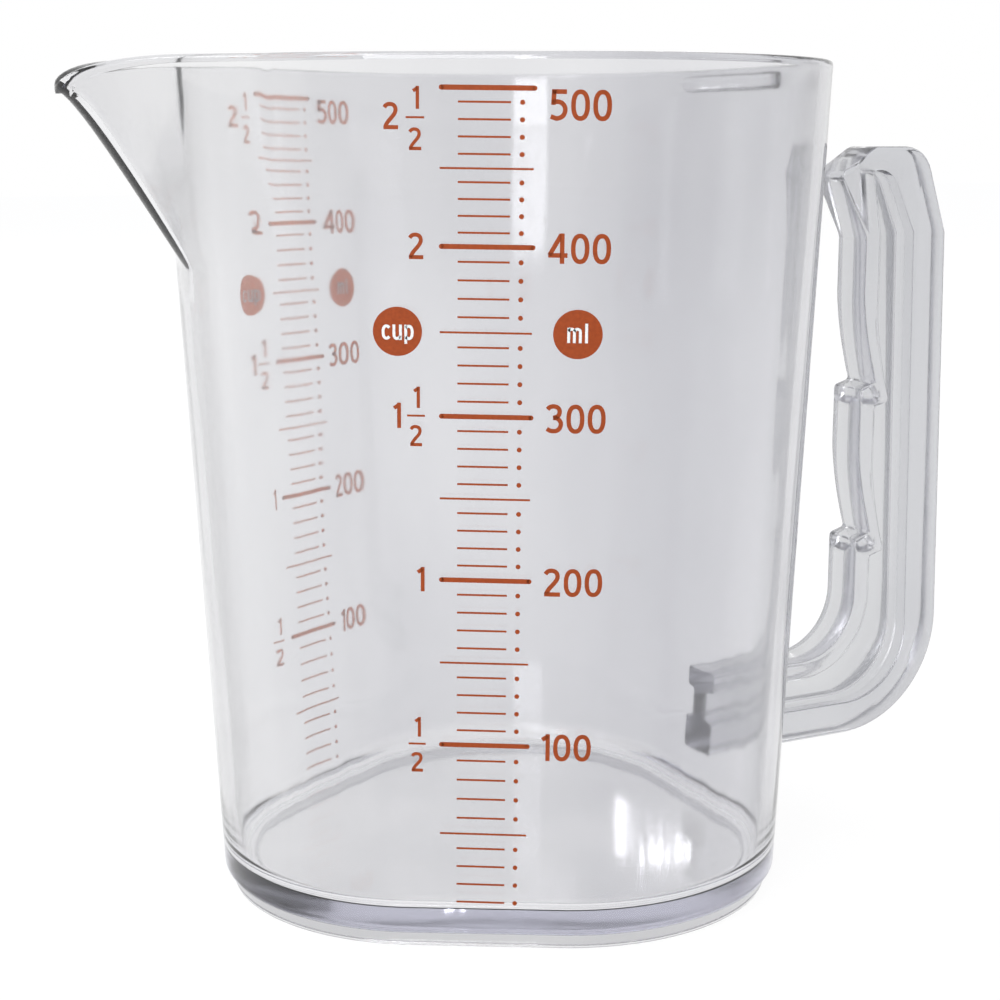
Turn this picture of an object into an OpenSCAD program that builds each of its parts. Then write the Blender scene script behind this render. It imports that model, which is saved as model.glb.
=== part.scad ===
// Clear plastic mixing cup with a pouring spout, an open handle and a printed scale.
// Seen from above it is a triangle with large round corners. The spout is drawn out of one
// corner, towards -X, and the handle stands on the middle of the side opposite, towards +X.
// Heights are measured from the table that the foot ring stands on.

/* [Cup] */
// Height of the rim
rim_h = 113; // [100:0.5:130]
// Radius of the three round corners at the foot of the wall
corner_r = 29.6; // [26:0.1:34]
// Distance from the cup's axis to the centre of each corner
corner_reach = 11.2; // [8:0.1:14]
// Outward lean of the wall in degrees
draft_angle = 2.6; // [1.5:0.1:3.5]
// Thickness of the wall
wall_t = 1.8; // [1.4:0.1:2.6]
// Radius of the rim's two edges
rim_edge_r = 0.5; // [0.2:0.1:0.6]
// Radius of the wall's lower edge, above the foot ring
base_edge_r = 1; // [0.4:0.1:1.4]

/* [Floor and foot] */
// Thickness of the floor
floor_t = 2.8; // [2:0.1:4]
// Radius of the fillet between the floor and the wall
floor_fillet_r = 2.6; // [1.5:0.1:4]
// Height of the foot ring
foot_h = 2; // [1.5:0.1:3]
// Step from the wall in to the foot ring
foot_step = 1.2; // [0.6:0.1:2]
// Thickness of the foot ring
foot_t = 2.2; // [1.5:0.1:2.8]
// Chamfer on the foot ring's outer edge
foot_chamfer = 0.3; // [0.2:0.1:0.8]

/* [Spout] */
// Height at which the spout starts to leave the corner
spout_start_h = 86.5; // [78:0.5:92]
// Distance from the cup's axis to the tip of the spout
spout_reach = 60.4; // [55:0.1:66]
// Angle from the middle of the spout to its crease with the corner
spout_crease_angle = 33; // [26:1:40]
// Radius of the spout's tip
spout_tip_r = 3.2; // [2.6:0.1:5]
// Drop of the tip below the rim
spout_dip = 3.4; // [1:0.1:5]
// Height of the tip's upright lip
spout_lip_h = 1; // [0.4:0.1:2]
// Length over which the rim dips towards the tip
spout_dip_length = 12; // [8:0.5:16]

/* [Rim bead] */
// Height of the bead inside the rim above the handle
bead_h = 2.4; // [1.8:0.1:3]
// Depth of the bead
bead_depth = 0.9; // [0.5:0.1:1.4]
// Gap between the bead and the rim
bead_gap = 0.8; // [0.7:0.1:3]

/* [Handle] */
// Width of the handle
handle_w = 7.4; // [6:0.1:10]
// Height of the handle's free end
handle_top_h = 101.8; // [98:0.1:106]
// Height of the underside of the handle's arm
arm_base_h = 10; // [8:0.1:13]
// Depth of the arm where it leaves the wall
arm_d = 12.8; // [11:0.1:15]
// Distance from the cup's axis to the grip that the fingers hold
grip_reach = 60.2; // [57:0.1:64]
// Depth of the handle from the grip to its back
handle_d = 16.4; // [14:0.1:19]
// Radius of the inner bend
inner_bend_r = 9.8; // [7:0.1:11]
// Radius of the outer bend
outer_bend_r = 17.6; // [16:0.1:20]
// Thickness of the grip flange
grip_t = 3; // [2:0.1:3.4]
// Thickness of the spine along the handle's back
spine_t = 6.2; // [5:0.1:6.8]
// Thickness of the spine along the arm
arm_spine_t = 5; // [4:0.1:5.5]
// Thickness of the web between the grip and the spine
web_t = 2.6; // [1.6:0.1:4]
// Height of the lower finger ledge
ledge_h = 41.4; // [40:0.1:44]
// Distance between the two finger ledges
ledge_pitch = 23.7; // [22:0.1:26]
// Depth of a finger ledge
ledge_d = 2.6; // [1.5:0.1:3.2]
// Height of the slope above a finger ledge
ledge_slope_h = 14; // [10:0.5:16]
// How far the nose at the free end leans in over the grip
nose_lean = 4.6; // [2:0.1:6]

/* [Printed scale] */
// Thickness of the ink
ink_t = 0.12; // [0.08:0.01:0.2]
// Heights of the marks from 50 to 500 ml as shares of the depth of the cup
mark_shares = [0.106, 0.217, 0.317, 0.416, 0.511, 0.605, 0.699, 0.793, 0.877, 0.962];
// Length of the marks at the hundreds
long_mark_l = 11.4; // [9:0.1:14]
// Length of the marks at the fifties
fifty_mark_l = 11; // [9:0.1:14]
// Length of the marks at the tens
short_mark_l = 6.15; // [4:0.05:8]
// Thickness of the marks at the hundreds
bold_mark_w = 0.6; // [0.4:0.05:0.9]
// Thickness of the other marks
fine_mark_w = 0.24; // [0.15:0.01:0.35]
// Radius of the dot beside each mark
dot_r = 0.3; // [0.2:0.05:0.45]
// Distance from the middle of the scale to the dots
dot_offset = 4.02; // [3.6:0.02:4.6]

/* [Hidden] */

// Clear plastic and ink as the eye sees them
clear_plastic = [0.84, 0.85, 0.88, 0.45];
clear_base = [0.70, 0.71, 0.80, 0.6];
ink_colour = [0.72, 0.33, 0.17];

// The plan has three sides, so each round corner turns through this angle either side of its
// middle, in steps of corner_step degrees
side_count = 3;
corner_span = 180 / side_count;
corner_step = corner_span / 12;
// The spout's corner points along -X
spout_angle = 180;
// Angles of the points on one half of the spout's corner, from its middle outwards: close
// together round the tip, then in even steps to the crease and on to the corner's end
tip_angles = [0, 0.8, 1.6, 2.4, 3.2, 4.2, 6, 9, 12, 16, 20];
tip_end = tip_angles[len(tip_angles) - 1];
crease_steps = 3;
cheek_steps = 5;
spout_angles = concat(
    tip_angles,
    [for (i = [1 : crease_steps]) tip_end + (spout_crease_angle - tip_end) * i / crease_steps],
    [for (i = [1 : cheek_steps]) spout_crease_angle + (corner_span - spout_crease_angle) * i / cheek_steps]
);
// Levels between the spout's start and the rim
spout_levels = 9;
// Steps in each bend of the handle, in a fillet and in a rounded edge
bend_steps = 14;
fillet_steps = 4;
edge_steps = 3;
slope_steps = 5;

lean = tan(draft_angle);
floor_h = foot_h + floor_t;
floor_edge_r = wall_r(floor_h) - wall_t - floor_fillet_r;
// Height at which the rim's rounded edge begins, and where the spout reaches its full length
edge_h = rim_h - rim_edge_r;
spout_end_h = edge_h - spout_lip_h;
spout_slope = (spout_reach - corner_reach - wall_r(spout_start_h)) / (spout_end_h - spout_start_h);
// Sideways thickness of the sloping spout where its wall is wall_t thick
spout_wall_t = wall_t * sqrt(1 + pow(spout_slope, 2));
// Share of the wall's thickness by which the tip's inner radius is smaller, and its least radius
tip_share = 0.75;
least_tip_r = 0.5;

handle_back = grip_reach + handle_d;
// Height from a finger ledge's edge up to its root
ledge_drop = 0.8;
// How the slope above a finger ledge curves: 1 is straight
ledge_slope_power = 1.6;
// Height of the nose below the free end, the radius of its tip and the angles that this spans
nose_drop = 4.3;
nose_r = 0.9;
nose_from = 205;
nose_to = 125;
// Height of the nose's underside for each millimetre that the nose leans in
nose_steepness = 2;
// Where the free end's flat top starts, and where the grip, the web and the cap meet below it
top_reach = grip_reach + 1.4;
cap_d = 3.6;
cap_point = [top_reach, handle_top_h - cap_d];
// Height of the slanted back below the free end, its lean in, and the radius of its corner, on
// the back itself and on the recess beside the web
back_slant_h = 13;
back_slant = 3.1;
back_corner_r = 5;
recess_corner_r = 3.5;
back_corner_angle = 16;
// Lean of the whole back over the height of the handle
back_lean = 1.2;

// Height of the bead's soft edges as a share of its height, and their depth as a share of its depth
bead_edge_share = 0.25;
bead_edge_depth = 0.35;

// The scale's sides are the two beside the spout
scale_angle = 2 * corner_span;
// The print leans a little towards the handle as it goes up, from a foot that is shifted back
scale_lean = 0.75;
scale_shift = -0.17;
// Shift of the middle of the tens and of the fifties away from the dots
short_mark_shift = 0.4;
fifty_mark_shift = 0.1;
dot_facets = 16;
marks_per_step = 5;
// Share of a 50 ml step below its first short mark, and between the next ones
first_share = 0.18;
next_share = 0.215;

// The handle's middle and the spout's tip lie on X, so this puts the origin under the middle
axis_x = (spout_reach - handle_back) / 2;

// Outer radius of a round corner at height z, and distance from the axis to the flat side
function wall_r(z) = corner_r + lean * (z - foot_h);
function side_x(z) = corner_reach / 2 + wall_r(z);

// Distance from the corner's centre to the spout's skin at an angle a from its middle, for a
// corner of radius r that is drawn out to length l with a tip of radius t
function spout_ray(a, r, l, t) =
    l <= r ? r :
    let (
        crease = min(acos((r - t) / (l - t)), spout_crease_angle),
        c = [r * cos(crease), r * sin(crease)],
        o = [l - t, 0],
        d = norm(c - o),
        turn = atan2(c.y, c.x - o.x) - acos(min(1, t / d)),
        p = o + t * [cos(turn), sin(turn)],
        side = p - c
    )
    a >= crease ? r :
    a <= atan2(p.y, p.x) ? o.x * cos(a) + sqrt(max(0, t * t - pow(o.x * sin(a), 2))) :
    (c.x * side.y - c.y * side.x) / (cos(a) * side.y - sin(a) * side.x);

// Length of the spout's corner at height z, for a skin that lies inset within the outer one
function spout_length(z, inset) =
    let (r = wall_r(z) - inset, rise = min(z, spout_end_h) - spout_start_h)
    rise <= 0 ? r : max(r, wall_r(spout_start_h) + spout_slope * rise - inset * spout_wall_t / wall_t);

// The rim's drop at distance x in front of the axis, for a tip that reaches out to reach
function dip(x, reach) =
    let (s = min(1, max(0, (x - reach + spout_dip_length) / spout_dip_length)))
    spout_dip * (1 - sqrt(1 - s * s));

// The point at angle a of the round corner that faces angle at
function corner_point(at, a, r) = corner_reach * [cos(at), sin(at)] + r * [cos(a), sin(a)];

function plain_corner(at, r) =
    [for (a = [at - corner_span : corner_step : at + corner_span]) corner_point(at, a, r)];

function spout_corner(z, inset) =
    let (
        r = wall_r(z) - inset,
        l = spout_length(z, inset),
        t = max(least_tip_r, spout_tip_r - tip_share * inset),
        last = len(spout_angles) - 1
    )
    [for (i = [-last : last])
        let (a = spout_angles[abs(i)], d = spout_ray(a, r, l, t))
        corner_point(spout_angle, spout_angle + sign(i) * a, d)];

// One level of the cup's skin, as points around it at height z
function level(z, inset) =
    let (
        plan = concat(plain_corner(corner_span, wall_r(z) - inset), spout_corner(z, inset),
                      plain_corner(-corner_span, wall_r(z) - inset)),
        weight = z <= spout_start_h ? 0 : pow((z - spout_start_h) / (rim_h - spout_start_h), 2),
        reach = spout_reach - inset * spout_wall_t / wall_t
    )
    [for (p = plan) [p.x, p.y, z - weight * dip(-p.x, reach)]];

// One level with upright sides, for a corner radius r
function plain_level(z, r) = level_at(z, wall_r(z) - r);
function level_at(z, inset) = [for (p = level(0, wall_r(0) - wall_r(z) + inset)) [p.x, p.y, z]];

// Triangles between neighbouring rings of n points, all facing outwards
function band(i, j, n) =
    [for (k = [0 : n - 1]) let (m = (k + 1) % n)
        each [[i * n + k, j * n + k, j * n + m], [i * n + k, j * n + m, i * n + m]]];

// A solid of rings that close on themselves, like a tyre
module ring_skin(rings) {
    n = len(rings[0]);
    last = len(rings) - 1;
    polyhedron([for (r = rings) each r], [for (i = [0 : last]) each band(i, (i + 1) % (last + 1), n)]);
}

// A solid of rings with a flat cap at each end
module capped_skin(rings) {
    n = len(rings[0]);
    last = len(rings) - 1;
    caps = [[for (k = [0 : n - 1]) k], [for (k = [n - 1 : -1 : 0]) last * n + k]];
    polyhedron([for (r = rings) each r], concat([for (i = [0 : last - 1]) each band(i, i + 1, n)], caps));
}

// Points on an arc about a centre, from one angle to another
function arc(centre, r, from, to, steps) =
    [for (i = [0 : steps]) let (a = from + (to - from) * i / steps) centre + r * [cos(a), sin(a)]];

function reversed(list) = [for (i = [len(list) - 1 : -1 : 0]) list[i]];

// The cup's wall with its spout, rounded rim and the fillet at its foot
module cup_wall() {
    slope_h = spout_end_h - spout_start_h;
    spout_hs = concat([for (i = [0 : spout_levels]) spout_start_h + slope_h * i / spout_levels], [edge_h]);
    base_edge = [for (i = [0 : edge_steps]) let (a = 90 * i / edge_steps)
        level(foot_h + base_edge_r * (1 - cos(a)), base_edge_r * (1 - sin(a)))];
    outside = concat(base_edge, [for (z = spout_hs) level(z, 0)]);
    outer_edge = [for (i = [1 : edge_steps]) let (a = 90 * i / edge_steps)
        level(edge_h + rim_edge_r * sin(a), rim_edge_r * (1 - cos(a)))];
    inner_edge = [for (i = [edge_steps : -1 : 1]) let (a = 90 * i / edge_steps)
        level(edge_h + rim_edge_r * sin(a), wall_t - rim_edge_r * (1 - cos(a)))];
    inside = [for (z = reversed(spout_hs)) level(z, wall_t)];
    fillet = [for (i = [0 : fillet_steps]) let (a = 90 * i / fillet_steps)
        plain_level(floor_h + floor_fillet_r * (1 - sin(a)),
                    floor_edge_r + floor_fillet_r * cos(a) + fillet_lean(cos(a)))];
    underside = [plain_level(foot_h, floor_edge_r)];
    color(clear_plastic) translate([axis_x, 0, 0])
        ring_skin(concat(outside, outer_edge, inner_edge, inside, fillet, underside));
}

// The wall's lean over the height of the fillet, spread along it
function fillet_lean(share) = lean * floor_fillet_r * share;

// The flat floor inside the wall's fillet
module cup_floor() {
    color(clear_base) translate([axis_x, 0, 0])
        capped_skin([plain_level(foot_h, floor_edge_r), plain_level(floor_h, floor_edge_r)]);
}

// The ring that the cup stands on, a step in from the wall
module foot_ring() {
    outer_r = corner_r - foot_step;
    inner_r = outer_r - foot_t;
    color(clear_base) translate([axis_x, 0, 0])
        ring_skin([
            plain_level(0, outer_r - foot_chamfer),
            plain_level(foot_chamfer, outer_r),
            plain_level(foot_h, outer_r),
            plain_level(foot_h, inner_r),
            plain_level(0, inner_r)
        ]);
}

// The bead on the inner face of the wall above the handle, with rounded ends
module rim_bead() {
    top = rim_h - bead_gap;
    soft = bead_h * bead_edge_share;
    edge = bead_edge_depth;
    sections = [[top - bead_h, edge], [top - bead_h + soft, 1], [top - soft, 1], [top, edge]];
    color(clear_plastic) translate([axis_x, 0, 0])
        capped_skin([for (s = sections) bead_section(s[0], bead_depth * s[1])]);
}

function bead_section(z, depth) =
    let (
        r = wall_r(z) - wall_t,
        back = [corner_point(-corner_span, -corner_step, r), corner_point(-corner_span, 0, r),
                corner_point(corner_span, 0, r), corner_point(corner_span, corner_step, r)],
        half = (back[3].y + back[2].y) / 2,
        face_x = back[2].x - depth,
        plan = concat(back, [[back[3].x - depth / 2, back[3].y - depth / 2], [face_x, half],
                             [face_x, -half], [back[0].x - depth / 2, back[0].y + depth / 2]])
    )
    [for (p = plan) [p.x, p.y, z]];

// The slope above a finger ledge, as points from the ledge upwards, with the grip at x
function finger_slope(x, z) =
    [for (i = [slope_steps : -1 : 0]) let (t = i / slope_steps)
        [x + ledge_d * pow(t, ledge_slope_power), z + ledge_slope_h * (1 - t)]];

// Side view of the handle's face towards the cup, from the wall out and up to the free end,
// for a line that lies in from that face by inset
function inner_line(inset) =
    let (
        x = grip_reach + inset,
        arm_z = arm_base_h + arm_d - inset,
        bend_c = [grip_reach - inner_bend_r, arm_base_h + arm_d + inner_bend_r],
        low = ledge_h - inset,
        high = ledge_h + ledge_pitch - inset,
        nose_z = handle_top_h - nose_drop
    )
    concat(
        [[side_x(arm_z), arm_z]],
        arc(bend_c, inner_bend_r + inset, -90, 0, bend_steps),
        [[x, low]], finger_slope(x, low + ledge_drop),
        [[x, high]], finger_slope(x, high + ledge_drop),
        [[x, nose_z - nose_lean * nose_steepness]]
    );

// The nose at the free end, from the grip up to the flat end
function nose_line() =
    let (tip = [grip_reach - nose_lean, handle_top_h - nose_drop])
    concat(
        arc(tip + [nose_r, 0], nose_r, nose_from, nose_to, edge_steps),
        [[top_reach, handle_top_h]]
    );

// Side view of the handle's back, from the wall out and up to the flat end, for a line that
// lies in from the back by up on the handle and by low on the arm
function outer_line(up, low, cap) =
    let (
        arm_z = arm_base_h + low,
        r = outer_bend_r - up,
        bend_c = [handle_back - outer_bend_r, arm_z + r],
        slant_z = handle_top_h - back_slant_h,
        end_z = handle_top_h - cap,
        corner_r = up > 0 ? recess_corner_r : back_corner_r,
        corner_c = [handle_back - back_lean - back_slant - up - corner_r * cos(back_corner_angle),
                    end_z - corner_r]
    )
    concat(
        [[side_x(arm_z), arm_z]],
        arc(bend_c, r, -90, 0, bend_steps),
        [[handle_back - back_lean - up, slant_z]],
        arc(corner_c, corner_r, back_corner_angle, 90, edge_steps)
    );

module side_plate(outline, width) {
    rotate([90, 0, 0]) linear_extrude(height = width, center = true) polygon(outline);
}

// The flange that the fingers hold, with its two ledges and the nose
module handle_grip() {
    color(clear_plastic) translate([axis_x, 0, 0])
        side_plate(concat(inner_line(0), nose_line(), [cap_point], reversed(inner_line(grip_t))), handle_w);
}

// The thick spine along the handle's back, with the cap over the free end
module handle_spine() {
    color(clear_plastic) translate([axis_x, 0, 0])
        side_plate(concat(outer_line(0, 0, 0), [[top_reach, handle_top_h], cap_point],
                          reversed(outer_line(spine_t, arm_spine_t, cap_d))), handle_w);
}

// The thin web in the middle between the grip and the spine
module handle_web() {
    color(clear_plastic) translate([axis_x, 0, 0])
        side_plate(concat(inner_line(grip_t), [cap_point],
                          reversed(outer_line(spine_t, arm_spine_t, cap_d))), web_t);
}

// Height of each fifty ml mark
function mark_h(i) = floor_h + (rim_h - floor_h) * mark_shares[i];

// One mark of the scale lying on the wall, its middle shifted away from the dots, in the wall's
// own tilted plane
module mark(z, length, shift, width, dotted) {
    up = (z - foot_h) / cos(draft_angle);
    translate([0, -shift - length / 2, up - width / 2]) cube([ink_t, length, width]);
    if (dotted)
        translate([0, dot_offset, up]) rotate([0, 90, 0]) cylinder(h = ink_t, r = dot_r, $fn = dot_facets);
}

// All marks from 10 to 500 ml, on the flat side whose middle is at an angle. The rear scale is
// flipped, because it is read from the front, through the cup.
module scale_print(angle, flip) {
    color(ink_colour) translate([axis_x, 0, 0]) rotate([0, 0, angle])
        translate([side_x(foot_h), 0, foot_h]) rotate([0, draft_angle, 0])
            mirror([0, flip, 0]) translate([0, scale_shift, 0]) rotate([-scale_lean, 0, 0])
                for (i = [0 : len(mark_shares) - 1]) {
                    below = i == 0 ? floor_h : mark_h(i - 1);
                    step = mark_h(i) - below;
                    bold = i % 2 == 1;
                    if (bold) mark(mark_h(i), long_mark_l, 0, bold_mark_w, false);
                    else mark(mark_h(i), fifty_mark_l, fifty_mark_shift, fine_mark_w, false);
                    for (k = [0 : marks_per_step - 2])
                        mark(below + step * (first_share + next_share * k), short_mark_l,
                             short_mark_shift, fine_mark_w, true);
                }
}

module front_scale() { scale_print(-scale_angle, 0); }

module rear_scale() { scale_print(scale_angle, 1); }

cup_wall();
cup_floor();
foot_ring();
rim_bead();
handle_grip();
handle_web();
handle_spine();
front_scale();
rear_scale();
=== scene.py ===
import math

import bmesh
import bpy
from mathutils import Matrix, Vector


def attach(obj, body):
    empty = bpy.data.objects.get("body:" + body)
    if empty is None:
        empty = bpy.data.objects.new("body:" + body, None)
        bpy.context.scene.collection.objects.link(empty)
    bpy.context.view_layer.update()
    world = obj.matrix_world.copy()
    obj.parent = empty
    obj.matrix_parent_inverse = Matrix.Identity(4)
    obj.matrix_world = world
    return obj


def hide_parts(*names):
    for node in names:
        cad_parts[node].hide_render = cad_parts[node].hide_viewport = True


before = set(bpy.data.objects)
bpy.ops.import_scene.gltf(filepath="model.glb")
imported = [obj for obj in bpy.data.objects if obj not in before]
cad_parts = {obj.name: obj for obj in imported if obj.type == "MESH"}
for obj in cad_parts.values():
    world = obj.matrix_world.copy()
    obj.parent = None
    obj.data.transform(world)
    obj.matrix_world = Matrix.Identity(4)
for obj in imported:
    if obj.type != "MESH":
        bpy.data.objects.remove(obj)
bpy.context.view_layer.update()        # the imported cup; all its nodes ride on one body, root
print("frame loaded:", sorted(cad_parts))

mmToMetre = Matrix.Scale(0.001, 4)        # pieces are shaped in millimetres, as the cup was measured

# camera

photo = {
    "place": (-0.12323, -0.23224, 0.10357),
    "pitch": 11.23,        # degrees down
    "turn": -27.204,
    "lens": 66.796,
    "shift": (-0.0271, 0.0030),
    "nearest": 0.01,
    "farthest": 50,
    "bounces": 32,        # light travels far inside the thick floor
    "glossBounces": 8,
}
cameraData = bpy.data.cameras.new("camera")
cameraData.sensor_width = 36
cameraData.lens = photo["lens"]
cameraData.shift_x, cameraData.shift_y = photo["shift"]
cameraData.clip_start, cameraData.clip_end = photo["nearest"], photo["farthest"]
camera = bpy.data.objects.new("camera", cameraData)
camera.location = photo["place"]
camera.rotation_euler = (math.radians(90 - photo["pitch"]), 0, math.radians(photo["turn"]))
bpy.context.scene.collection.objects.link(camera)
bpy.context.scene.camera = camera
bpy.context.scene.view_settings.view_transform = "Standard"
bpy.context.scene.cycles.max_bounces = photo["bounces"]
bpy.context.scene.cycles.transmission_bounces = photo["bounces"]
bpy.context.scene.cycles.glossy_bounces = photo["glossBounces"]
print("camera placed")

# small helpers


def addObject(name, mesh):
    thing = bpy.data.objects.new(name, mesh)
    bpy.context.scene.collection.objects.link(thing)
    return thing


def meshFrom(bm, name):
    mesh = bpy.data.meshes.new(name)
    bm.to_mesh(mesh)
    bm.free()
    return mesh


def settle(thing):        # replaces the object's mesh by what its modifiers make of it
    bpy.context.view_layer.update()
    shown = thing.evaluated_get(bpy.context.evaluated_depsgraph_get())
    finished = bpy.data.meshes.new_from_object(shown)
    thing.modifiers.clear()
    thing.data = finished


def combine(target, tool, operation):
    change = target.modifiers.new("combine", "BOOLEAN")
    change.operation = operation
    change.solver = "EXACT"
    change.object = tool
    settle(target)
    bpy.data.objects.remove(tool)


def nodeSetup(name):
    material = bpy.data.materials.new(name)
    material.use_nodes = True
    tree = material.node_tree
    tree.nodes.clear()
    return material, tree


def remap(tree, value, start, end, low=0, high=1):        # low at start, high at end, level beyond them
    step = tree.nodes.new("ShaderNodeMapRange")
    step.inputs["From Min"].default_value = start
    step.inputs["From Max"].default_value = end
    step.inputs["To Min"].default_value = low
    step.inputs["To Max"].default_value = high
    tree.links.new(value, step.inputs["Value"])
    return step.outputs["Result"]


def noise(tree, vector, size, detail):
    texture = tree.nodes.new("ShaderNodeTexNoise")
    texture.inputs["Scale"].default_value = size
    texture.inputs["Detail"].default_value = detail
    tree.links.new(vector, texture.inputs["Vector"])
    return texture.outputs["Fac"]


def stretched(tree, vector, amount):
    mapping = tree.nodes.new("ShaderNodeMapping")
    mapping.inputs["Scale"].default_value = amount
    tree.links.new(vector, mapping.inputs["Vector"])
    return mapping.outputs["Vector"]


def ramp(tree, value, start, end, first, last):        # from the first colour at start to the last at end
    colours = tree.nodes.new("ShaderNodeValToRGB")
    low, high = colours.color_ramp.elements
    low.position, high.position = start, end
    low.color, high.color = (*first, 1), (*last, 1)
    tree.links.new(value, colours.inputs["Fac"])
    return colours.outputs["Color"]


def bump(tree, height, depth, strength):
    wave = tree.nodes.new("ShaderNodeBump")
    wave.inputs["Distance"].default_value = depth
    if isinstance(strength, bpy.types.NodeSocket):
        tree.links.new(strength, wave.inputs["Strength"])
    else:
        wave.inputs["Strength"].default_value = strength
    tree.links.new(height, wave.inputs["Height"])
    return wave.outputs["Normal"]


# the clear moulding

cup = {
    "axisX": -8.1,        # where the cup's own axis stands in the part
    "rimHeight": 113.0,
    "cornerRadius": 29.6,
    "cornerReach": 11.2,
    "cornerSpan": 60,
    "lean": math.tan(math.radians(2.6)),
    "wall": 1.8,
    "rimEdge": 0.6,
    "floor": 2.8,
    "fillet": 2.6,
    "footHeight": 2.0,
    "footStep": 1.2,
    "footWall": 2.2,
    "footEdge": 0.3,
    "footLands": (1.6, 0.9),        # how far inside the foot ring the underside's two levels lie
    "footHollow": 0.5,        # rounding where the underside meets the foot ring
    "footSeat": (0.25, 0.06),
    "skirtEdge": 1.0,        # rounding of the wall's lower edge, above the foot
    "outerLevels": (3.4, 6, 12, 24, 36, 48, 60, 72, 82),
    "innerLevels": (82, 72, 60, 48, 36, 24, 14),
    "rimLevel": 0.4,        # the last level lies this far under the rim's rounding
    "floorLand": 0.8,
    "sharpFrom": 32,        # edges that turn more than this, in degrees, stay sharp
}
spout = {
    "start": 86.5,
    "end": 111.5,        # height of full length, where the tip's upright lip begins
    "reach": 60.4,
    "crease": 33,
    "tip": 3.2,
    "leastTip": 0.5,
    "tipShare": 0.75,
    "dip": 3.4,
    "dipLength": 12,
    "creaseBlend": 0.25,
    "blendAngle": 8,
    "fadeAngle": 14,
    "levels": 20,
}
plainAngles = [-60 + 2.5 * i for i in range(49)]
spoutHalf = [0, 0.8, 1.6, 2.4, 3.2, 4.2, 5.4, 7, 9, 11, 13, 15, 17, 19, 21, 23, 25, 27, 28.5,
             30, 31, 32, 33, 34, 35, 36, 37.5, 39, 41, 43.5, 46, 48.5, 51, 53.5, 56, 58, 60]
spoutAngles = [-a for a in reversed(spoutHalf[1:])] + spoutHalf
flatSteps = 6        # points along each flat side


def wallRadius(z):
    return cup["cornerRadius"] + cup["lean"] * (z - cup["footHeight"])


def sideX(z):
    return cup["cornerReach"] / 2 + wallRadius(z)


floorTop = cup["footHeight"] + cup["floor"]
floorRadius = wallRadius(floorTop) - cup["wall"] - cup["fillet"]
edgeHeight = cup["rimHeight"] - cup["rimEdge"]
spoutSlope = ((spout["reach"] - cup["cornerReach"] - wallRadius(spout["start"]))
              / (spout["end"] - spout["start"]))
spoutWall = cup["wall"] * math.sqrt(1 + spoutSlope ** 2)


def spoutDistance(angle, r, length, tip):        # from the corner's centre to the spout's skin
    if length <= r + 0.001:
        return r
    a = math.radians(abs(angle))
    free = math.acos((r - tip) / (length - tip))        # where the cheeks would leave the corner smoothly
    crease = min(free, math.radians(spout["crease"]))
    corner = Vector((r * math.cos(crease), r * math.sin(crease)))
    centre = Vector((length - tip, 0))
    gap = corner - centre
    turn = math.atan2(gap.y, gap.x) - math.acos(min(1, tip / gap.length))
    touch = centre + tip * Vector((math.cos(turn), math.sin(turn)))
    if a <= math.atan2(touch.y, touch.x):
        return centre.x * math.cos(a) + math.sqrt(max(0, tip ** 2 - (centre.x * math.sin(a)) ** 2))
    side = touch - corner
    below = math.cos(a) * side.y - math.sin(a) * side.x
    line = r if a >= crease else (corner.x * side.y - corner.y * side.x) / below
    blend = spout["creaseBlend"] * min(1, (free - crease) / math.radians(spout["blendAngle"]))
    fade = max(0, 1 - max(0, a - crease) / math.radians(spout["fadeAngle"])) ** 2
    return (line + r + math.sqrt((line - r) ** 2 + (blend * fade) ** 2)) / 2


def spoutLength(z, inset):
    r = wallRadius(z) - inset
    rise = min(z, spout["end"]) - spout["start"]
    if rise <= 0:
        return r
    return max(r, wallRadius(spout["start"]) + spoutSlope * rise - inset * spoutWall / cup["wall"])


def rimDrop(x, z, inset):        # how far the rim dips at distance x in front of the axis
    if z <= spout["start"]:
        return 0
    share = (z - spout["start"]) / (cup["rimHeight"] - spout["start"])
    reach = spout["reach"] - inset * spoutWall / cup["wall"]
    s = min(1, max(0, (x - reach + spout["dipLength"]) / spout["dipLength"]))
    return share ** 2 * spout["dip"] * (1 - math.sqrt(1 - s * s))


def cornerPoint(facing, angle, r):
    f, a = math.radians(facing), math.radians(angle)
    return Vector((cup["cornerReach"] * math.cos(f) + r * math.cos(a),
                   cup["cornerReach"] * math.sin(f) + r * math.sin(a)))


def cupRing(z, inset=0.0, radius=None):        # one level of the skin, all round; radius makes it plain
    r = wallRadius(z) - inset if radius is None else radius
    span = cup["cornerSpan"]
    length = r if radius is not None else spoutLength(z, inset)
    tip = max(spout["leastTip"], spout["tip"] - spout["tipShare"] * inset)
    corners = [[cornerPoint(span, span + a, r) for a in plainAngles],
               [cornerPoint(180, 180 + a, spoutDistance(a, r, length, tip)) for a in spoutAngles],
               [cornerPoint(-span, -span + a, r) for a in plainAngles]]
    ring = []
    for i, corner in enumerate(corners):
        follow = corners[(i + 1) % 3][0]
        ring += corner
        ring += [corner[-1].lerp(follow, k / flatSteps) for k in range(1, flatSteps)]
    drop = (lambda x: 0) if radius is not None else (lambda x: rimDrop(x, z, inset))
    return [Vector((p.x + cup["axisX"], p.y, z - drop(-p.x))) for p in ring]


def arcSteps(count):
    return [math.radians(90 * i / count) for i in range(count + 1)]


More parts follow.
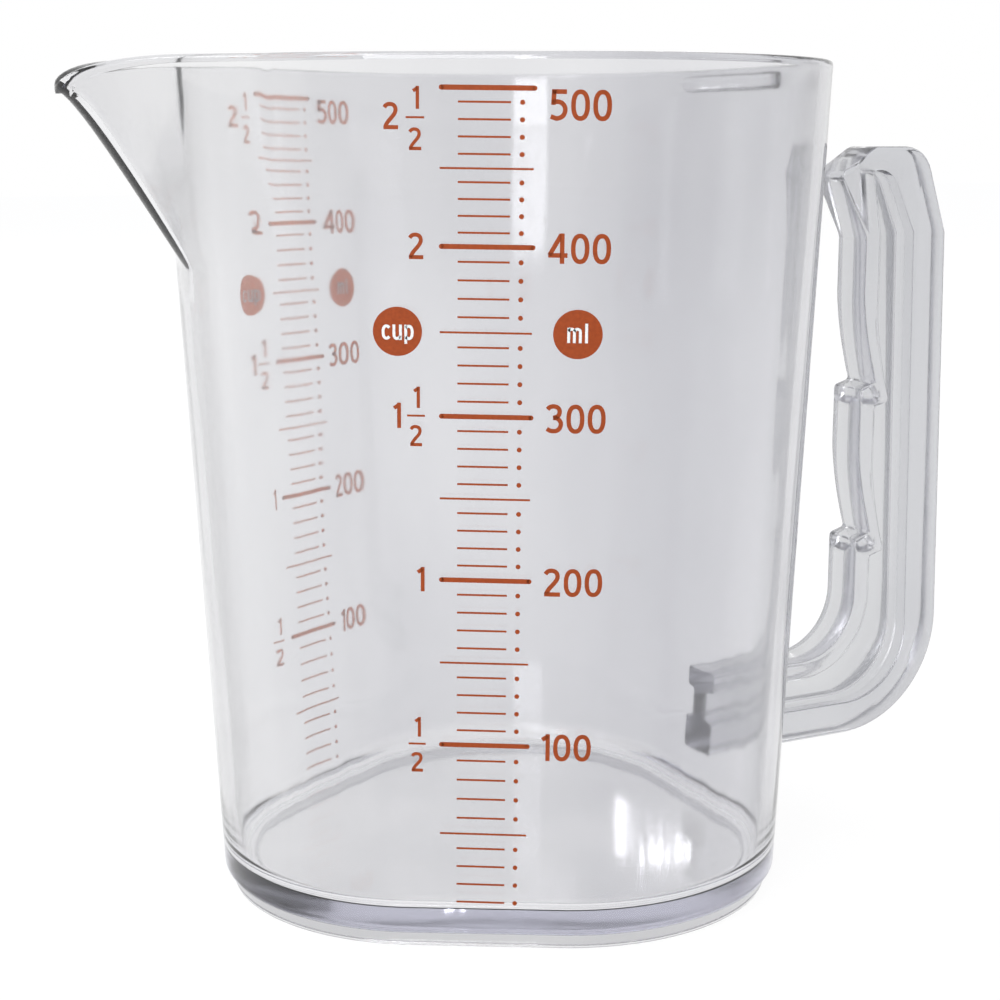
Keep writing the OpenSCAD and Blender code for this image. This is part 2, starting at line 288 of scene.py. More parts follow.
def cupSkin():
    outerFoot = cup["cornerRadius"] - cup["footStep"]
    innerFoot = outerFoot - cup["footWall"]
    footHeight, edge, skirt = cup["footHeight"], cup["footEdge"], cup["skirtEdge"]
    hollow, (seat, lift) = cup["footHollow"], cup["footSeat"]
    rings = [cupRing(footHeight, radius=innerFoot - land) for land in cup["footLands"]]
    rings += [cupRing(footHeight - hollow * math.sin(a),
                      radius=innerFoot - hollow * math.cos(a)) for a in arcSteps(3)]
    rings += [cupRing(edge * (1 - math.sin(a)),
                      radius=innerFoot + edge * (1 - math.cos(a))) for a in arcSteps(3)]
    rings += [cupRing(edge * (1 - math.cos(a)),
                      radius=outerFoot - edge * (1 - math.sin(a))) for a in arcSteps(3)]
    rings += [cupRing(footHeight - seat, radius=outerFoot),
              cupRing(footHeight - lift, radius=outerFoot + lift)]
    rings += [cupRing(footHeight + skirt * (1 - math.cos(a)),
                      inset=skirt * (1 - math.sin(a))) for a in arcSteps(4)]
    rings += [cupRing(z) for z in cup["outerLevels"]]
    rise = [spout["start"] + (spout["end"] - spout["start"]) * i / spout["levels"]
            for i in range(spout["levels"] + 1)] + [edgeHeight - cup["rimLevel"], edgeHeight]
    rings += [cupRing(z) for z in rise]
    rim = cup["rimEdge"]
    rings += [cupRing(edgeHeight + rim * math.sin(a), inset=rim * (1 - math.cos(a)))
              for a in arcSteps(5)[1:]]
    rings += [cupRing(edgeHeight + rim * math.sin(a), inset=cup["wall"] - rim * (1 - math.cos(a)))
              for a in reversed(arcSteps(5)[1:])]
    rings += [cupRing(z, inset=cup["wall"]) for z in reversed(rise)]
    rings += [cupRing(z, inset=cup["wall"]) for z in cup["innerLevels"]]
    fillet = cup["fillet"]
    rings += [cupRing(floorTop + fillet * (1 - math.sin(a)),
                      radius=floorRadius + (1 + cup["lean"]) * fillet * math.cos(a)) for a in arcSteps(6)]
    rings += [cupRing(floorTop, radius=floorRadius - cup["floorLand"])]

    bm = bmesh.new()
    place = bm.verts.layers.int.new("place")
    first = [bm.verts.new(p) for p in rings[0]]
    for i, vert in enumerate(first):
        vert[place] = i
    edges = [bm.edges.new((first[i - 1], first[i])) for i in range(len(first))]
    bmesh.ops.contextual_create(bm, geom=edges)
    for ring in rings[1:]:
        grown = bmesh.ops.extrude_edge_only(bm, edges=edges)["geom"]
        for vert in [g for g in grown if isinstance(g, bmesh.types.BMVert)]:
            vert.co = ring[vert[place]]
        edges = [g for g in grown if isinstance(g, bmesh.types.BMEdge)]
    bmesh.ops.contextual_create(bm, geom=edges)
    bmesh.ops.recalc_face_normals(bm, faces=bm.faces)
    return addObject("clear_moulding", meshFrom(bm, "clear_moulding"))


handle = {
    "width": 7.4,
    "top": 101.8,
    "armBase": 10,
    "armDepth": 12.8,
    "gripReach": 60.2,
    "depth": 16.4,
    "innerBend": 9.8,
    "outerBend": 17.6,
    "grip": 3,
    "spine": 6.2,
    "armSpine": 5,
    "web": 2.6,
    "ledge": 41.4,
    "ledgePitch": 23.7,
    "ledgeDepth": 2.6,
    "ledgeSlope": 14,
    "ledgeDrop": 0.8,
    "ledgeCurve": 1.6,
    "noseLean": 4.6,
    "noseDrop": 4.3,
    "noseRadius": 0.9,
    "noseTurn": (205, 125),        # first and last angle of the nose's rounding
    "topStart": 1.4,
    "cap": 3.6,
    "backSlant": (13, 3.1),        # height and lean of the slanted back under the top
    "backCorner": (5, 16),        # radius and first angle of the back's top corner
    "recessCorner": 3.5,
    "backLean": 1.2,
    "edge": 0.6,
    "sharpFrom": 24,        # edges that turn more than this, in degrees, are rounded
    "root": 0.9,        # how far the handle runs into the wall
    "past": 1.0,        # how far the recesses run past it
}
bendSteps, ledgeSteps = 22, 8


def arcLine(x, z, r, start, end, steps):
    turns = [math.radians(start + (end - start) * i / steps) for i in range(steps + 1)]
    return [(x + r * math.cos(a), z + r * math.sin(a)) for a in turns]


def gripLine(inset, root):        # the face towards the cup, from the wall out and up
    h = handle
    x = h["gripReach"] + inset
    armZ = h["armBase"] + h["armDepth"] - inset
    line = [(sideX(armZ) - root, armZ)]
    line += arcLine(h["gripReach"] - h["innerBend"], h["armBase"] + h["armDepth"] + h["innerBend"],
                    h["innerBend"] + inset, -90, 0, bendSteps)
    for z in (h["ledge"] - inset, h["ledge"] + h["ledgePitch"] - inset):
        line.append((x, z))
        for t in range(ledgeSteps, -1, -1):
            share = t / ledgeSteps
            line.append((x + h["ledgeDepth"] * share ** h["ledgeCurve"],
                         z + h["ledgeDrop"] + h["ledgeSlope"] * (1 - share)))
    line.append((x, h["top"] - h["noseDrop"] - 2 * h["noseLean"]))
    return line


def backLine(up, low, cap, root):        # the handle's back, from the wall out and up
    h = handle
    armZ = h["armBase"] + low
    r = h["outerBend"] - up
    back = h["gripReach"] + h["depth"]
    slantHeight, slant = h["backSlant"]
    cornerRadius, cornerAngle = h["backCorner"]
    if up > 0:
        cornerRadius = h["recessCorner"]
    cornerX = back - h["backLean"] - slant - up - cornerRadius * math.cos(math.radians(cornerAngle))
    line = [(sideX(armZ) - root, armZ)]
    line += arcLine(back - h["outerBend"], armZ + r, r, -90, 0, bendSteps)
    line.append((back - h["backLean"] - up, h["top"] - slantHeight))
    line += arcLine(cornerX, h["top"] - cap - cornerRadius, cornerRadius, cornerAngle, 90, 6)
    return line


def sidePlate(name, outline, low, high):        # a plate of that side view, from y low to y high
    bm = bmesh.new()
    verts = [bm.verts.new((x + cup["axisX"], low, z)) for x, z in outline]
    edges = [bm.edges.new((verts[i - 1], verts[i])) for i in range(len(verts))]
    face = bmesh.ops.contextual_create(bm, geom=edges)["faces"]
    grown = bmesh.ops.extrude_face_region(bm, geom=face)["geom"]
    bmesh.ops.translate(bm, verts=[g for g in grown if isinstance(g, bmesh.types.BMVert)],
                        vec=(0, high - low, 0))
    bmesh.ops.recalc_face_normals(bm, faces=bm.faces)
    return addObject(name, meshFrom(bm, name))


def handleBody():
    h = handle
    topX = h["gripReach"] + h["topStart"]
    capPoint = (topX, h["top"] - h["cap"])
    tipX, tipZ = h["gripReach"] - h["noseLean"] + h["noseRadius"], h["top"] - h["noseDrop"]
    outline = gripLine(0, h["root"]) + arcLine(tipX, tipZ, h["noseRadius"], *h["noseTurn"], 4)
    outline += [(topX, h["top"])] + backLine(0, 0, 0, h["root"])[::-1]
    body = sidePlate("handle", outline, -h["width"] / 2, h["width"] / 2)
    recess = (gripLine(h["grip"], h["root"] + h["past"]) + [capPoint]
              + backLine(h["spine"], h["armSpine"], h["cap"], h["root"] + h["past"])[::-1])
    for side in (-1, 1):
        near, far = sorted((side * h["web"] / 2, side * (h["width"] / 2 + h["past"])))
        combine(body, sidePlate("recess", recess, near, far), "DIFFERENCE")
    bm = bmesh.new()
    bm.from_mesh(body.data)
    bmesh.ops.remove_doubles(bm, verts=bm.verts, dist=0.001)
    inWall = lambda v: v.co.x - cup["axisX"] < sideX(v.co.z) - 0.5 * h["root"]
    sharp = [e for e in bm.edges
             if len(e.link_faces) == 2 and e.calc_face_angle() > math.radians(h["sharpFrom"])
             and not (inWall(e.verts[0]) and inWall(e.verts[1]))]
    bmesh.ops.bevel(bm, geom=sharp, offset=h["edge"], offset_type="OFFSET", segments=3, profile=0.5,
                    affect="EDGES", clamp_overlap=True, material=-1)
    bm.to_mesh(body.data)
    bm.free()
    return body


bead = {"height": 2.4, "depth": 0.9, "gap": 0.8, "halfLength": 13.2, "edge": 0.86, "root": 0.8}


def rimBead():        # the bar on the inner face above the handle
    top = cup["rimHeight"] - bead["gap"]
    middle = top - bead["height"] / 2
    face = sideX(middle) - cup["wall"] - bead["depth"]
    depth = bead["depth"] + bead["root"]
    bm = bmesh.new()
    bmesh.ops.create_cube(bm, size=1)
    bmesh.ops.scale(bm, verts=bm.verts, vec=(depth, 2 * bead["halfLength"], bead["height"]))
    bmesh.ops.translate(bm, verts=bm.verts, vec=(face + depth / 2 + cup["axisX"], 0, middle))
    front = [e for e in bm.edges if all(v.co.x < face + 0.01 + cup["axisX"] for v in e.verts)]
    ends = [e for e in bm.edges if abs(e.verts[0].co.z - e.verts[1].co.z) < 0.01
            and abs(e.verts[0].co.y - e.verts[1].co.y) < 0.01]
    bmesh.ops.bevel(bm, geom=list(set(front + ends)), offset=bead["edge"], segments=4, profile=0.5,
                    affect="EDGES", clamp_overlap=True, material=-1)
    return addObject("bead", meshFrom(bm, "bead"))


moulding = cupSkin()
print("cup skin:", len(moulding.data.polygons))
combine(moulding, handleBody(), "UNION")
combine(moulding, rimBead(), "UNION")
bm = bmesh.new()
bm.from_mesh(moulding.data)
bmesh.ops.remove_doubles(bm, verts=bm.verts, dist=0.002)
bm.transform(mmToMetre)
bm.to_mesh(moulding.data)
print("open edges:", len([e for e in bm.edges if len(e.link_faces) != 2]))
bm.free()
for face in moulding.data.polygons:
    face.use_smooth = True
moulding.data.set_sharp_from_angle(angle=math.radians(cup["sharpFrom"]))
print("clear moulding:", len(moulding.data.polygons), "faces")


plastic = {
    "leftPaintedLight": (0.93, 0.93, 0.93),        # painted light: the plastic near the spout is made lighter light left after one wall, near the handle
    "wallTint": (0.83, 0.83, 0.845),        # and near the handle
    # painted light on the floor, painted shade on the foot
    "floorPaintedLight": (1.0, 1.0, 1.0),
    "footPaintedShade": (0.68, 0.68, 0.69),
    # painted shade: the handle is made darker than the wall
    "handlePaintedShade": (0.68, 0.685, 0.695),
    "footToFloor": (0.0018, 0.0021),        # where one tone gives way to the next, in metres
    "floorToWall": (0.0050, 0.0075),
    "leftToRight": (-0.045, -0.012),
    "wallToHandle": (0.0285, 0.0360),
    "spoutToWall": (-0.057, -0.053),
    "cloud": (34, 34, 11),        # soft upright clouds of painted shade, for the studio's reflections in the wall
    "cloudPaintedShade": (0.88, 0.88, 0.89),
    "edgeShade": 0.72,        # painted shade: how dark the plastic is made where it is seen edge on
    "edgeFacing": (0.52, 0.72),
    "flow": (90, 90, 9),        # flow marks run up the wall
    "flowDepth": 0.0005,
    "flowStrength": (0.03, 0.3),        # on the floor and on the wall
    "floorToFlow": (0.005, 0.012),
    "haze": 60,
    "roughness": (0.03, 0.08),
    "handleFrost": 0.10,        # the handle is less polished than the cup
    "absorb": (0.10, 0.10, 0.34),
    "density": 9,
    "index": 1.55,
}


def clearPlastic():
    material, tree = nodeSetup("clear_plastic")
    nodes, links = tree.nodes, tree.links
    out = nodes.new("ShaderNodeOutputMaterial")
    shader = nodes.new("ShaderNodeBsdfPrincipled")
    shader.inputs["IOR"].default_value = plastic["index"]
    shader.inputs["Transmission Weight"].default_value = 1
    links.new(shader.outputs["BSDF"], out.inputs["Surface"])
    inside = nodes.new("ShaderNodeVolumeAbsorption")
    inside.inputs["Color"].default_value = (*plastic["absorb"], 1)
    inside.inputs["Density"].default_value = plastic["density"]
    links.new(inside.outputs["Volume"], out.inputs["Volume"])
    place = nodes.new("ShaderNodeTexCoord").outputs["Object"]
    split = nodes.new("ShaderNodeSeparateXYZ")
    links.new(place, split.inputs["Vector"])

    def blend(kind, share, first, second):
        mix = nodes.new("ShaderNodeMix")
        mix.data_type = "RGBA"
        mix.blend_type = kind
        for socket, value in ((mix.inputs[0], share), (mix.inputs[6], first), (mix.inputs[7], second)):
            if isinstance(value, bpy.types.NodeSocket):
                links.new(value, socket)
            elif isinstance(value, tuple):
                socket.default_value = (*value, 1)
            else:
                socket.default_value = value
        return mix.outputs[2]

    def compute(operation, *values):
        step = nodes.new("ShaderNodeMath")
        step.operation = operation
        for socket, value in zip(step.inputs, values):
            if isinstance(value, bpy.types.NodeSocket):
                links.new(value, socket)
            else:
                socket.default_value = value
        return step.outputs["Value"]

    onHandle = remap(tree, split.outputs["X"], *plastic["wallToHandle"])
    aboveFoot = remap(tree, split.outputs["Z"], *plastic["footToFloor"])
    aboveFloor = remap(tree, split.outputs["Z"], *plastic["floorToWall"])
    rightward = remap(tree, split.outputs["X"], *plastic["leftToRight"])
    # painted shade on the foot, painted light on the floor
    tint = blend("MIX", aboveFoot, plastic["footPaintedShade"], plastic["floorPaintedLight"])
    # painted light: the left side, towards the spout, is made lighter than the wall
    wall = blend("MIX", rightward, plastic["leftPaintedLight"], plastic["wallTint"])
    tint = blend("MIX", aboveFloor, tint, wall)
    # painted shade: the handle is made darker than the wall
    tint = blend("MIX", onHandle, tint, plastic["handlePaintedShade"])
    # painted shade in soft upright clouds, for the studio's reflections
    drift = noise(tree, stretched(tree, place, plastic["cloud"]), 1, 3)
    tint = blend("MULTIPLY", 1.0, tint, ramp(tree, drift, 0.3, 0.7, plastic["cloudPaintedShade"], (1, 1, 1)))
    # painted shade where the plastic is seen edge on
    facing = nodes.new("ShaderNodeLayerWeight")
    facing.inputs["Blend"].default_value = 0.5
    outline = ramp(tree, facing.outputs["Facing"], *plastic["edgeFacing"],
                   (1, 1, 1), [plastic["edgeShade"]] * 3)
    upright = compute("MULTIPLY", aboveFloor, remap(tree, split.outputs["X"], *plastic["spoutToWall"]))
    tint = blend("MULTIPLY", upright, tint, outline)        # neither the floor nor the spout gets the painted edge shade
    links.new(tint, shader.inputs["Base Color"])

    flow = noise(tree, stretched(tree, place, plastic["flow"]), 1, 2)
    strength = remap(tree, split.outputs["Z"], *plastic["floorToFlow"], *plastic["flowStrength"])
    links.new(bump(tree, flow, plastic["flowDepth"], strength), shader.inputs["Normal"])
    haze = remap(tree, noise(tree, place, plastic["haze"], 4), 0.3, 0.8, *plastic["roughness"])
    links.new(compute("MULTIPLY_ADD", onHandle, plastic["handleFrost"], haze), shader.inputs["Roughness"])
    return material


moulding.data.materials.clear()
moulding.data.materials.append(clearPlastic())
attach(moulding, "root")
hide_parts("cup_wall", "cup_floor", "foot_ring", "rim_bead",
            "handle_grip", "handle_web", "handle_spine")

# the printed scales

scale = {
    "shares": [0.106, 0.217, 0.317, 0.416, 0.511, 0.605, 0.699, 0.793, 0.877, 0.962],
    "firstShare": 0.18,
    "nextShare": 0.215,
    "lean": 0.75,        # degrees towards the handle
    "shift": -0.17,
    "longMark": 11.0,
    "longShift": -0.1,
    "boldMark": 11.4,
    "shortMark": 6.15,
    "shortShift": -0.4,
    "boldWidth": 0.6,
    "fineWidth": 0.24,
    "dotRadius": 0.3,
    "dotShift": 4.02,
    "inkTop": 0.10,        # ink stands this far out of the wall
    "inkRoot": 0.03,        # a thin film of air keeps its back as bright as its front
    "numberHeight": 3.55,
    "cupHeight": 3.1,
    "partHeight": 2.6,
    "discRadius": 2.95,
    "discPlaces": {"cup": -10.66, "ml": 10.86},
    "wordPlaces": {"cup": -10.62, "ml": 10.86},
    "wordHeight": 1.85,
    "wordPen": 0.19,
    "wordGap": 0.14,
    "wordProud": (0.014, 0.016),        # the words stand out of the discs on both sides
    "numberPlace": 7.2,
    "barPlace": -8.47,        # middle of the fractions
    "barLength": 2.16,
    "overBar": (0.12, 2.25),
    "underBar": -2.45,
    "cuts": [side * (8 + 0.7 * i) for side in (-1, 1) for i in range(12)],
}
# centre lines of the numerals in a box one unit high, y up; each number is its own stroke
oval = [(0.305 + 0.229 * math.copysign(abs(math.cos(a)) ** 0.86, math.cos(a)),
         0.5 + 0.424 * math.copysign(abs(math.sin(a)) ** 0.86, math.sin(a)))
        for a in [math.tau * i / 32 for i in range(33)]]
glyphs = {
    "0": (0.61, [oval]),
    "1": (0.30, [[(0.215, 0), (0.215, 1)], [(0.02, 0.785), (0.22, 0.925)]]),
    "2": (0.58, [[(0.055, 0.80), (0.11, 0.875), (0.19, 0.918), (0.28, 0.925), (0.38, 0.90), (0.45, 0.83),
                  (0.475, 0.73), (0.455, 0.63), (0.40, 0.53), (0.31, 0.42), (0.20, 0.29), (0.12, 0.17),
                  (0.08, 0.06)],
                 [(0.02, 0.076), (0.57, 0.076)]]),
    "3": (0.58, [[(0.05, 0.82), (0.11, 0.885), (0.19, 0.92), (0.27, 0.925), (0.37, 0.90), (0.44, 0.83),
                  (0.46, 0.73), (0.43, 0.63), (0.35, 0.56), (0.24, 0.535)],
                 [(0.24, 0.535), (0.36, 0.52), (0.45, 0.46), (0.50, 0.37), (0.50, 0.27), (0.46, 0.17),
                  (0.38, 0.10), (0.27, 0.075), (0.14, 0.09), (0.03, 0.15)]]),
    "4": (0.64, [[(0.46, 0), (0.46, 1)], [(0.0, 0.275), (0.64, 0.275)], [(0.045, 0.28), (0.43, 0.96)]]),
    "5": (0.57, [[(0.06, 0.922), (0.54, 0.922)], [(0.13, 0.98), (0.105, 0.50)],
                 [(0.06, 0.565), (0.16, 0.60), (0.27, 0.60), (0.37, 0.565), (0.45, 0.49), (0.49, 0.38),
                  (0.48, 0.26), (0.42, 0.155), (0.32, 0.09), (0.20, 0.072), (0.02, 0.13)]]),
    "c": (0.56, [[(0.50, 0.78), (0.42, 0.86), (0.32, 0.90), (0.22, 0.87), (0.13, 0.76), (0.10, 0.60),
                  (0.10, 0.40), (0.13, 0.24), (0.22, 0.13), (0.32, 0.10), (0.42, 0.14), (0.50, 0.22)]]),
    "u": (0.62, [[(0.10, 1.0), (0.10, 0.35), (0.13, 0.20), (0.21, 0.11), (0.31, 0.10), (0.42, 0.16),
                  (0.50, 0.27)],
                 [(0.52, 1.0), (0.52, 0.0)]]),
    "p": (0.62, [[(0.10, 1.0), (0.10, -0.24)],
                 [(0.10, 0.78), (0.20, 0.87), (0.32, 0.90), (0.43, 0.84), (0.50, 0.70), (0.52, 0.50),
                  (0.50, 0.30), (0.43, 0.16), (0.32, 0.10), (0.20, 0.12), (0.10, 0.20)]]),
    "m": (0.98, [[(0.10, 1.0), (0.10, 0.0)],
                 [(0.10, 0.76), (0.20, 0.87), (0.31, 0.90), (0.42, 0.84), (0.46, 0.70), (0.46, 0.0)],
                 [(0.46, 0.76), (0.56, 0.87), (0.67, 0.90), (0.79, 0.84), (0.84, 0.70), (0.84, 0.0)]]),
    "l": (0.26, [[(0.12, 1.27), (0.12, 0.0)]]),
}


def roundPath(points, steps=4):        # a smooth line through the points, where there are more than two
    if len(points) < 3:
        return [Vector(p) for p in points]
    p = [Vector(q) for q in points]
    closed = (p[0] - p[-1]).length < 1e-6
    before = p[-2] if closed else 2 * p[0] - p[1]
    after = p[1] if closed else 2 * p[-1] - p[-2]
    p = [before] + p + [after]
    line = []
    for i in range(1, len(p) - 2):
        for k in range(steps):
            t = k / steps
            line.append(0.5 * (2 * p[i] + (p[i + 1] - p[i - 1]) * t
                               + (2 * p[i - 1] - 5 * p[i] + 4 * p[i + 1] - p[i + 2]) * t ** 2
                               + (3 * p[i] - p[i - 1] - 3 * p[i + 1] + p[i + 2]) * t ** 3))
    return line + [p[-2]]


def drawStroke(bm, path, width):        # a flat ribbon along the path
    n = len(path)
    closed = n > 2 and (path[0] - path[-1]).length < 1e-6
    if closed:
        path, n = path[:-1], n - 1
    across = []
    for i in range(n):
        ahead = path[(i + 1) % n] if closed or i < n - 1 else path[i]
        behind = path[i - 1] if closed or i else path[i]
        along = (ahead - behind).normalized()
        across.append(Vector((-along.y, along.x)) * width / 2)
    place = bm.verts.layers.int.verify()
    left = [bm.verts.new((*(p + a), 0)) for p, a in zip(path, across)]
    for i, vert in enumerate(left):
        vert[place] = i
    edges = [bm.edges.new((left[i], left[i + 1])) for i in range(n - 1)]
    if closed:
        edges.append(bm.edges.new((left[-1], left[0])))
    grown = bmesh.ops.extrude_edge_only(bm, edges=edges)["geom"]
    for vert in [g for g in grown if isinstance(g, bmesh.types.BMVert)]:
        vert.co = (*(path[vert[place]] - across[vert[place]]), 0)


def drawDisc(bm, x, z, radius, segments):
    bmesh.ops.create_circle(bm, cap_ends=True, segments=segments, radius=radius,
                            matrix=Matrix.Translation((x, z, 0)))


def drawWord(bm, word, x, z, height, align="left", pen=0.152, gap=0.11):
    wide = sum(glyphs[c][0] for c in word) + gap * (len(word) - 1)
    start = x - {"left": 0, "middle": 0.5, "right": 1}[align] * wide * height
    for c in word:
        for stroke in glyphs[c][1]:
            path = [Vector((start + p.x * height, z + (p.y - 0.5) * height)) for p in roundPath(stroke)]
            drawStroke(bm, path, pen * height)
        start += (glyphs[c][0] + gap) * height


def markHeight(i):
    return floorTop + (cup["rimHeight"] - floorTop) * scale["shares"][i]


def drawLevel(bm, middle, z, length, width):
    drawStroke(bm, [Vector((middle - length / 2, z)), Vector((middle + length / 2, z))], width)


def drawMarks(bm):
    s = scale
    for i in range(len(s["shares"])):
        z = markHeight(i)
        below = floorTop if i == 0 else markHeight(i - 1)
        if i % 2:
            straight = s["boldMark"] - s["boldWidth"]        # between its round ends
            drawLevel(bm, 0, z, straight, s["boldWidth"])
            for x in (-straight / 2, straight / 2):
                drawDisc(bm, x, z, s["boldWidth"] / 2, 16)
        else:
            drawLevel(bm, s["longShift"], z, s["longMark"], s["fineWidth"])
        for k in range(4):
            h = below + (z - below) * (s["firstShare"] + s["nextShare"] * k)
            drawLevel(bm, s["shortShift"], h, s["shortMark"], s["fineWidth"])
            drawDisc(bm, s["dotShift"], h, s["dotRadius"], 16)


def drawFraction(bm, x, z):
    aside, above = scale["overBar"]
    drawWord(bm, "1", x + aside, z + above, scale["partHeight"], "middle")
    drawLevel(bm, x, z, scale["barLength"], scale["fineWidth"])
    drawWord(bm, "2", x, z + scale["underBar"], scale["partHeight"], "middle")


def drawNumbers(bm):
    s = scale
    for i, word in ((1, "100"), (3, "200"), (5, "300"), (7, "400"), (9, "500")):
        drop = 1.85 if i == 9 else 0.05        # the top one hangs under its mark
        drawWord(bm, word, s["numberPlace"], markHeight(i) - drop, s["numberHeight"])
    for i, drop in ((1, 0), (5, 0), (9, 3.45)):
        drawFraction(bm, s["barPlace"], markHeight(i) - drop)
    for i, word, right, drop in ((3, "1", -7.45, 0), (5, "1", -10.25, 0),
                                 (7, "2", -7.5, 0), (9, "2", -10.4, 3.3)):
        drawWord(bm, word, right, markHeight(i) - drop, s["cupHeight"], "right")


def drawDiscs(bm):
    for x in scale["discPlaces"].values():
        drawDisc(bm, x, markHeight(6), scale["discRadius"], 64)


def drawUnits(bm):
    s = scale
    for word, x in s["wordPlaces"].items():
        drawWord(bm, word, x, markHeight(6) - 0.1, s["wordHeight"], "middle", s["wordPen"], s["wordGap"])


def wrapPoint(x, z, out):        # from the flat print to the outer face of the side that faces +X
    s, t = scale, math.radians(scale["lean"])
    along = s["shift"] + x * math.cos(t) + (z - cup["footHeight"]) * math.sin(t)
    height = z - x * math.sin(t)
    half = cup["cornerReach"] * math.sin(math.radians(60))
    r = wallRadius(height)
    turn = max(0, abs(along) - half) / r
    side = math.copysign(1, along)
    leanAngle = math.atan(cup["lean"])
    reach = r + out * math.cos(leanAngle)
    if turn == 0:
        return Vector((cup["cornerReach"] / 2 + reach, along, height - out * math.sin(leanAngle)))
    return Vector((cup["cornerReach"] / 2 + reach * math.cos(turn),
                   side * (half + reach * math.sin(turn)), height - out * math.sin(leanAngle)))


def printPiece(name, draw, angle, flip, low, high, material, under=None):
    bm = bmesh.new()
    draw(bm)
    for x in scale["cuts"]:        # where the wall is round, so that the print follows it
        bmesh.ops.bisect_plane(bm, geom=bm.verts[:] + bm.edges[:] + bm.faces[:], dist=0.0001,
                               plane_co=(x, 0, 0), plane_no=(1, 0, 0))
    grown = bmesh.ops.extrude_face_region(bm, geom=bm.faces[:])["geom"]
    tops = {g for g in grown if isinstance(g, bmesh.types.BMVert)}
    for vert in tops:
        vert.co.z = 1        # thick while it is flat, so that its faces turn outwards
    bmesh.ops.recalc_face_normals(bm, faces=bm.faces)
    turn = Matrix.Rotation(math.radians(angle), 3, "Z")
    for vert in bm.verts:
        point = wrapPoint(vert.co.x, vert.co.y, high if vert in tops else low)
        if flip:
            point.y = -point.y
        vert.co = turn @ point + Vector((cup["axisX"], 0, 0))
    if flip:
        bmesh.ops.reverse_faces(bm, faces=bm.faces)
    if under:        # the ink's back, painted lighter than its face as painted light, shows on the side that lies on the wall
        for face in bm.faces:
            face.material_index = 0 if any(v in tops for v in face.verts) else 1
    bm.transform(mmToMetre)
    piece = addObject(name, meshFrom(bm, name))
    piece.data.materials.append(material)
    if under:
        piece.data.materials.append(under)
    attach(piece, "root")
    return piece


ink = {
    "scale": (0.31, 0.054, 0.010),
    # painted light: the back of the ink, seen through the wall, is made lighter than its face; it also
    # lets light seep through
    "inkBackPaintedLight": (1.0, 0.52, 0.40),
    "white": (0.90, 0.89, 0.88),
    "roughness": 0.45,
    "gloss": 0.2,
    "seepRadius": (1, 0.8, 0.8),        # how far light spreads in a thin coat
    "seepScale": 0.0002,
    "grain": 2600,
    "grainTone": (0.86, 1.08),
    "grainDepth": 0.00003,
}


def inkMaterial(name, colour, seep=0):
    material, tree = nodeSetup(name)
    nodes, links = tree.nodes, tree.links
    out = nodes.new("ShaderNodeOutputMaterial")
    shader = nodes.new("ShaderNodeBsdfPrincipled")
    shader.inputs["Roughness"].default_value = ink["roughness"]
    shader.inputs["Specular IOR Level"].default_value = ink["gloss"]
    shader.inputs["Subsurface Weight"].default_value = seep
    shader.inputs["Subsurface Radius"].default_value = ink["seepRadius"]
    shader.inputs["Subsurface Scale"].default_value = ink["seepScale"]
    links.new(shader.outputs["BSDF"], out.inputs["Surface"])
    grain = noise(tree, nodes.new("ShaderNodeTexCoord").outputs["Object"], ink["grain"], 3)
    dark, light = [[min(1, c * tone) for c in colour] for tone in ink["grainTone"]]
    links.new(ramp(tree, grain, 0.3, 0.7, dark, light), shader.inputs["Base Color"])
    links.new(bump(tree, grain, ink["grainDepth"], 0.3), shader.inputs["Normal"])
    return material


scaleInk = inkMaterial("scale_ink", ink["scale"])
inkBackPaintedLight = inkMaterial("ink_back_painted_light", ink["inkBackPaintedLight"], 1)
whiteInk = inkMaterial("white_ink", ink["white"], 1)
for side, angle, flip in (("front", -120, False), ("rear", 120, True)):
    low, high = scale["inkRoot"], scale["inkTop"]
    under, over = scale["wordProud"]
    marks = printPiece(side + "_marks", drawMarks, angle, flip, low, high, scaleInk, inkBackPaintedLight)
    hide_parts(side + "_scale")
    printPiece(side + "_numbers", drawNumbers, angle, flip, low, high, scaleInk, inkBackPaintedLight)
    printPiece(side + "_discs", drawDiscs, angle, flip, low, high, scaleInk, inkBackPaintedLight)
    printPiece(side + "_units", drawUnits, angle, flip, low - under, high + over, whiteInk)
    print(side, "scale printed")

# floor, lights and background


studio = {
    "sky": (0.93, 0.95, 1),
    "skyStrength": 0.65,
    "floorSize": 3,
    "floorMatt": 0.8,        # the floor as it lights the cup
    "floorWhite": 0.93,        # the floor as it is seen, with what keeps the shadow
    "floorFaint": 0.10,
}


def whiteFor(tree, plain, white, output):        # plain light for the object, white for the eye
    nodes, links = tree.nodes, tree.links
    path = nodes.new("ShaderNodeLightPath")
    seen = nodes.new("ShaderNodeMath")
    seen.operation = "MAXIMUM"
    links.new(path.outputs["Is Camera Ray"], seen.inputs[0])
    links.new(path.outputs["Is Transmission Ray"], seen.inputs[1])
    seenToo = nodes.new("ShaderNodeMath")
    seenToo.operation = "MAXIMUM"
    links.new(seen.outputs["Value"], seenToo.inputs[0])
    links.new(path.outputs["Is Glossy Ray"], seenToo.inputs[1])
    mix = nodes.new("ShaderNodeMixShader")
    links.new(seenToo.outputs["Value"], mix.inputs[0])
    links.new(plain, mix.inputs[1])
    links.new(white, mix.inputs[2])
    links.new(mix.outputs["Shader"], output)


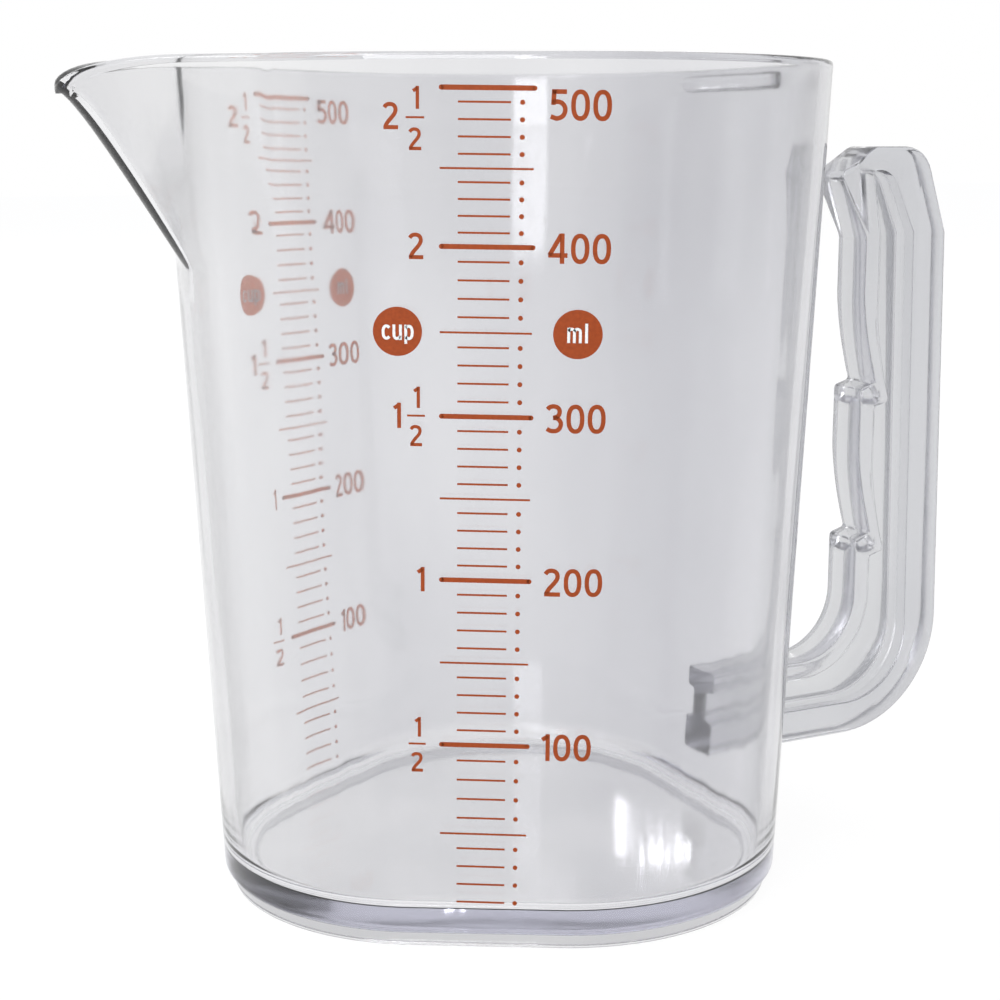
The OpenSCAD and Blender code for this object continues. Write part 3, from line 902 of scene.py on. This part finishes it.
world = bpy.data.worlds.new("studio")
world.use_nodes = True
tree = world.node_tree
tree.nodes.clear()
plainSky = tree.nodes.new("ShaderNodeBackground")
plainSky.inputs["Color"].default_value = (*studio["sky"], 1)
plainSky.inputs["Strength"].default_value = studio["skyStrength"]
whiteSky = tree.nodes.new("ShaderNodeBackground")
whiteSky.inputs["Color"].default_value = (1, 1, 1, 1)
whiteSky.inputs["Strength"].default_value = 1
worldOut = tree.nodes.new("ShaderNodeOutputWorld")
whiteFor(tree, plainSky.outputs["Background"], whiteSky.outputs["Background"], worldOut.inputs["Surface"])
bpy.context.scene.world = world

bm = bmesh.new()
bmesh.ops.create_grid(bm, x_segments=8, y_segments=8, size=studio["floorSize"])
floor = addObject("floor", meshFrom(bm, "floor"))
material, tree = nodeSetup("floor_white")
nodes, links = tree.nodes, tree.links
out = nodes.new("ShaderNodeOutputMaterial")
matt = nodes.new("ShaderNodeBsdfDiffuse")
matt.inputs["Color"].default_value = (*[studio["floorMatt"]] * 3, 1)
glow = nodes.new("ShaderNodeEmission")
glow.inputs["Strength"].default_value = studio["floorWhite"]
faint = nodes.new("ShaderNodeBsdfDiffuse")
faint.inputs["Color"].default_value = (*[studio["floorFaint"]] * 3, 1)
both = nodes.new("ShaderNodeAddShader")
links.new(faint.outputs["BSDF"], both.inputs[0])
links.new(glow.outputs["Emission"], both.inputs[1])
whiteFor(tree, matt.outputs["BSDF"], both.outputs["Shader"], out.inputs["Surface"])
floor.data.materials.append(material)


def softbox(name, place, aim, size, watts):
    data = bpy.data.lights.new(name, "AREA")
    data.shape = "RECTANGLE"
    data.size, data.size_y = size
    data.energy = watts
    lamp = bpy.data.objects.new(name, data)
    lamp.location = place
    lamp.rotation_euler = (Vector(aim) - Vector(place)).to_track_quat("-Z", "Y").to_euler()
    lamp.visible_camera = False
    bpy.context.scene.collection.objects.link(lamp)
    return lamp


softbox("key", (-0.9, -0.5, 1.1), (0, 0, 0.05), (0.6, 0.9), 8)
softbox("tall_strip", (-0.697, -0.800, 0.425), (0.017, 0.036, 0.1), (0.343, 0.64), 3.6)
# two small lamps that mirror in the floor
softbox("lamp_spot", (0.6358, 0.9071, 0.464), (0.0085, -0.0195, 0.0048), (0.028, 0.030), 0.034)
softbox("lamp_glint", (0.606, 0.9436, 0.4412), (0.0092, -0.009, 0.0048), (0.0095, 0.052), 0.018)
# shines through the rear print and doesn't show in the plastic
back = softbox("back_fill", (-0.72, 1.05, 0.55), (-0.02, 0.04, 0.06), (0.6, 0.6), 12)
back.visible_glossy = False
back.visible_transmission = False
print("studio set")
